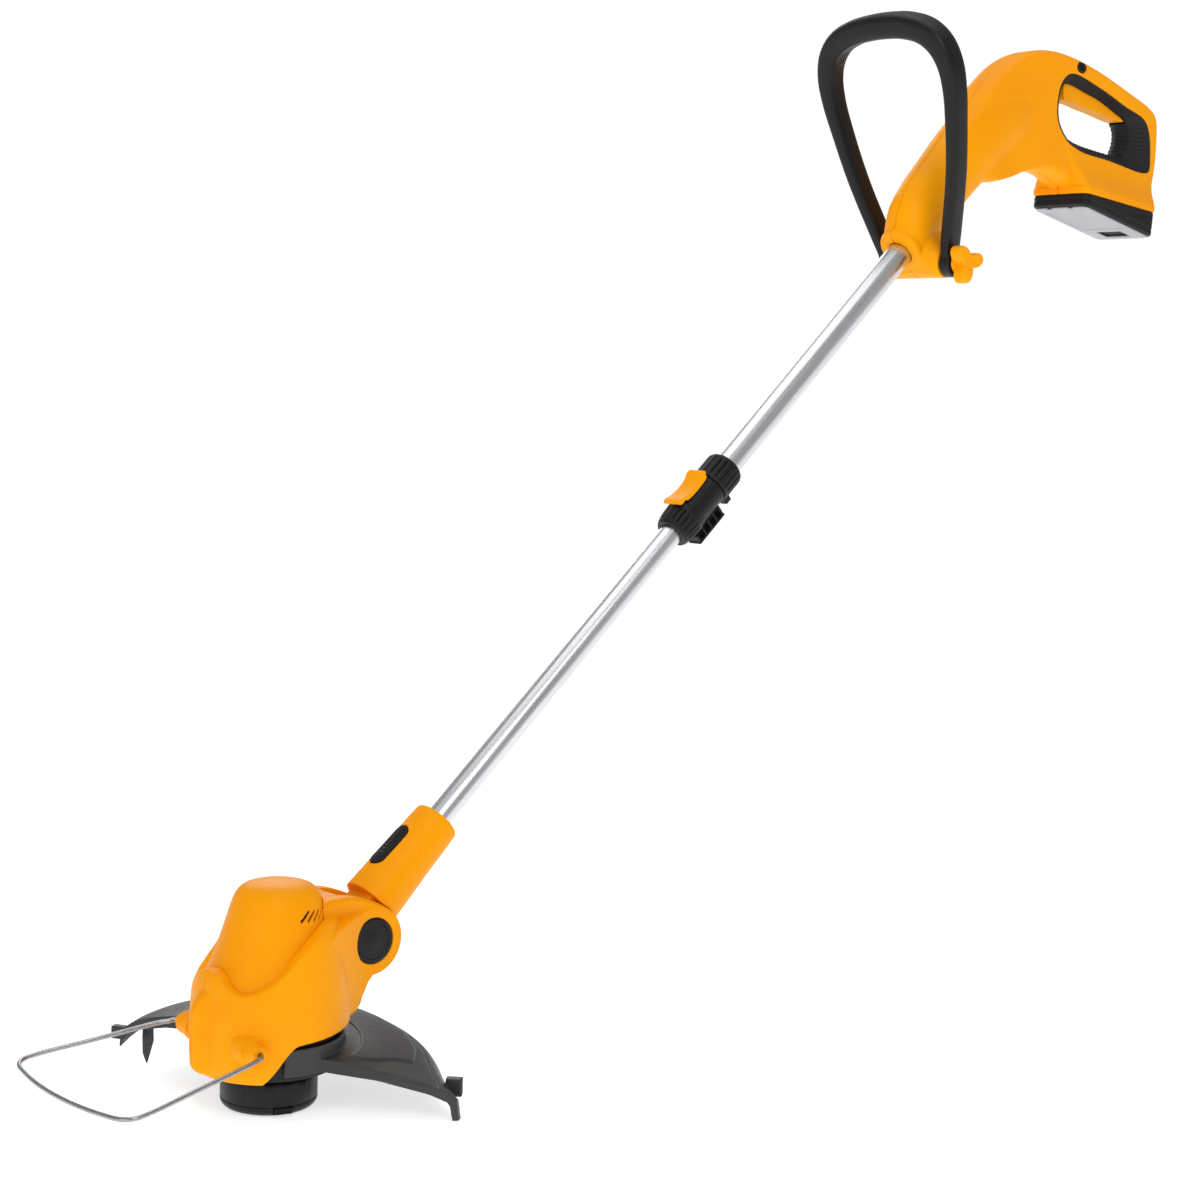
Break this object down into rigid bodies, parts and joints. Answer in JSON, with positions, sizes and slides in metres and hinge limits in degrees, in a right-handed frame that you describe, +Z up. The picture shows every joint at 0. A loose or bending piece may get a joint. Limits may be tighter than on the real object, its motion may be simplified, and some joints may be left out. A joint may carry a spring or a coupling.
{
  "type": "string trimmer",
  "caption": "Cordless string trimmer with a telescopic shaft, tilting motor head, line spool, debris guard, hinged wire guard, loop handle and rear trigger handle with a slide-on battery.",
  "frame": {"origin": "centre of the flat underside of the line spool cap, on the ground plane, on the spool axis", "axes": "+Z up along the spool axis; -Y forward towards the hinged wire guard; +Y back along the shaft towards the user; +X to the left of the user, the side of the star knob"},
  "size_m": [0.2664, 1.3314, 0.9706],
  "materials": {
    "yellow_plastic": "fine moulded texture, satin",
    "black_plastic": "fine moulded texture, satin",
    "guard_plastic": "satin, lightly scuffed",
    "aluminium_tube": "drawn, clear anodised",
    "steel": "bright zinc",
    "bronze": "plain",
    "grey_plastic": "satin",
    "cell_wrap": "shrink wrap",
    "circuit_board": "lacquered",
    "cutting_line": "nylon"
  },
  "bodies": {
    "handle": {"handle_shell_left": "yellow_plastic", "handle_shell_right": "yellow_plastic", "grip_liner": "black_plastic", "upper_tube": "aluminium_tube", "collar_cone_lower": "black_plastic", "collar_nut_upper": "black_plastic", "collar_body": "black_plastic", "handle_bolt": "steel", "trigger_switch": "black_plastic", "control_board": "circuit_board", "terminal_block": "bronze", "shell_screw_1": "steel", "shell_screw_2": "steel", "shell_screw_3": "steel", "shell_screw_4": "steel", "shell_screw_5": "steel", "shell_screw_6": "steel"},
    "loop_handle": {"loop_handle": "black_plastic"},
    "star_knob": {"star_knob": "yellow_plastic"},
    "trigger": {"trigger": "yellow_plastic"},
    "lock_off_button": {"lock_off_button": "black_plastic"},
    "battery": {"battery_case": "black_plastic", "battery_plate": "grey_plastic", "battery_cell_1": "cell_wrap", "battery_cell_2": "cell_wrap", "battery_cell_3": "cell_wrap", "battery_cell_4": "cell_wrap", "battery_cell_5": "cell_wrap"},
    "battery_latch": {"battery_latch": "black_plastic"},
    "tube_release_button": {"tube_release_button": "yellow_plastic"},
    "lower_tube": {"lower_tube": "aluminium_tube"},
    "neck_sleeve": {"neck_sleeve": "yellow_plastic"},
    "sleeve_button": {"sleeve_button": "black_plastic"},
    "head": {"head_shell_left": "yellow_plastic", "head_shell_right": "yellow_plastic", "motor_cover": "black_plastic", "motor_base": "black_plastic", "motor_mount_plate": "steel", "motor_can": "steel", "motor_bearing_lower": "bronze", "motor_bearing_upper": "bronze", "pivot_pin": "steel", "pivot_cap": "black_plastic", "guard": "guard_plastic", "line_cutter": "steel"},
    "tilt_button": {"tilt_button": "black_plastic"},
    "wire_guard": {"wire_guard": "steel"},
    "spool": {"motor_rotor": "steel", "spool_housing": "black_plastic", "line_spool": "black_plastic", "line_winding": "cutting_line", "spool_spring": "steel", "spool_cap": "black_plastic"},
    "spool_latch_a": {"spool_latch_a": "black_plastic"},
    "spool_latch_b": {"spool_latch_b": "black_plastic"}
  },
  "joints": [
    {"name": "loop_handle_tilt", "type": "hinge", "parent": "handle", "child": "loop_handle", "pos_m": [0, 0.767, 0.7295], "axis": [1, 0, 0], "range_deg": [-30, 30]},
    {"name": "star_knob_turn", "type": "hinge", "parent": "handle", "child": "star_knob", "pos_m": [0.057, 0.767, 0.7295], "axis": [1, 0, 0], "range_deg": [0, 300]},
    {"name": "trigger_pull", "type": "hinge", "parent": "handle", "child": "trigger", "pos_m": [0, 1.086, 0.911], "axis": [-1, 0, 0], "range_deg": [0, 5], "stiffness_Nm_per_rad": 2, "springref_deg": -4.58},
    {"name": "lock_off_press", "type": "slide", "parent": "handle", "child": "lock_off_button", "axis": [-1, 0, 0], "range_m": [0, 0.003], "stiffness_N_per_m": 400, "springref_m": -0.002},
    {"name": "tube_release_press", "type": "slide", "parent": "handle", "child": "tube_release_button", "axis": [0, 0.6751, -0.7378], "range_m": [0, 0.0015], "stiffness_N_per_m": 600, "springref_m": -0.002},
    {"name": "battery_slide", "type": "slide", "parent": "handle", "child": "battery", "axis": [0, 0.9954, -0.0955], "range_m": [0, 0.14]},
    {"name": "battery_latch_press", "type": "slide", "parent": "battery", "child": "battery_latch", "axis": [0, 0.0955, 0.9954], "range_m": [0, 0.0025], "stiffness_N_per_m": 400, "springref_m": -0.002},
    {"name": "shaft_telescope", "type": "slide", "parent": "handle", "child": "lower_tube", "axis": [0, 0.7378, 0.6751], "range_m": [0, 0.25]},
    {"name": "neck_swivel", "type": "hinge", "parent": "lower_tube", "child": "neck_sleeve", "pos_m": [0, 0.0918, 0.15], "axis": [0, 0.7378, 0.6751], "range_deg": [0, 180]},
    {"name": "sleeve_button_press", "type": "slide", "parent": "neck_sleeve", "child": "sleeve_button", "axis": [0, 0.6751, -0.7378], "range_m": [0, 0.0022], "stiffness_N_per_m": 400, "springref_m": -0.002},
    {"name": "head_tilt", "type": "hinge", "parent": "neck_sleeve", "child": "head", "pos_m": [0, 0.0801, 0.1315], "axis": [1, 0, 0], "range_deg": [-10, 40]},
    {"name": "tilt_button_press", "type": "slide", "parent": "head", "child": "tilt_button", "axis": [-1, 0, 0], "range_m": [0, 0.0025], "stiffness_N_per_m": 400, "springref_m": -0.002},
    {"name": "wire_guard_fold", "type": "hinge", "parent": "head", "child": "wire_guard", "pos_m": [0, -0.047, 0.0638], "axis": [-1, 0, 0], "range_deg": [0, 95]},
    {"name": "spool_spin", "type": "hinge", "parent": "head", "child": "spool", "pos_m": [0, 0, 0.02], "axis": [0, 0, 1], "continuous": true},
    {"name": "spool_latch_a_press", "type": "slide", "parent": "spool", "child": "spool_latch_a", "axis": [-0.9659, 0.2588, 0], "range_m": [0, 0.0012], "stiffness_N_per_m": 500, "springref_m": -0.002},
    {"name": "spool_latch_b_press", "type": "slide", "parent": "spool", "child": "spool_latch_b", "axis": [0.9659, -0.2588, 0], "range_m": [0, 0.0012], "stiffness_N_per_m": 500, "springref_m": -0.002}
  ]
}
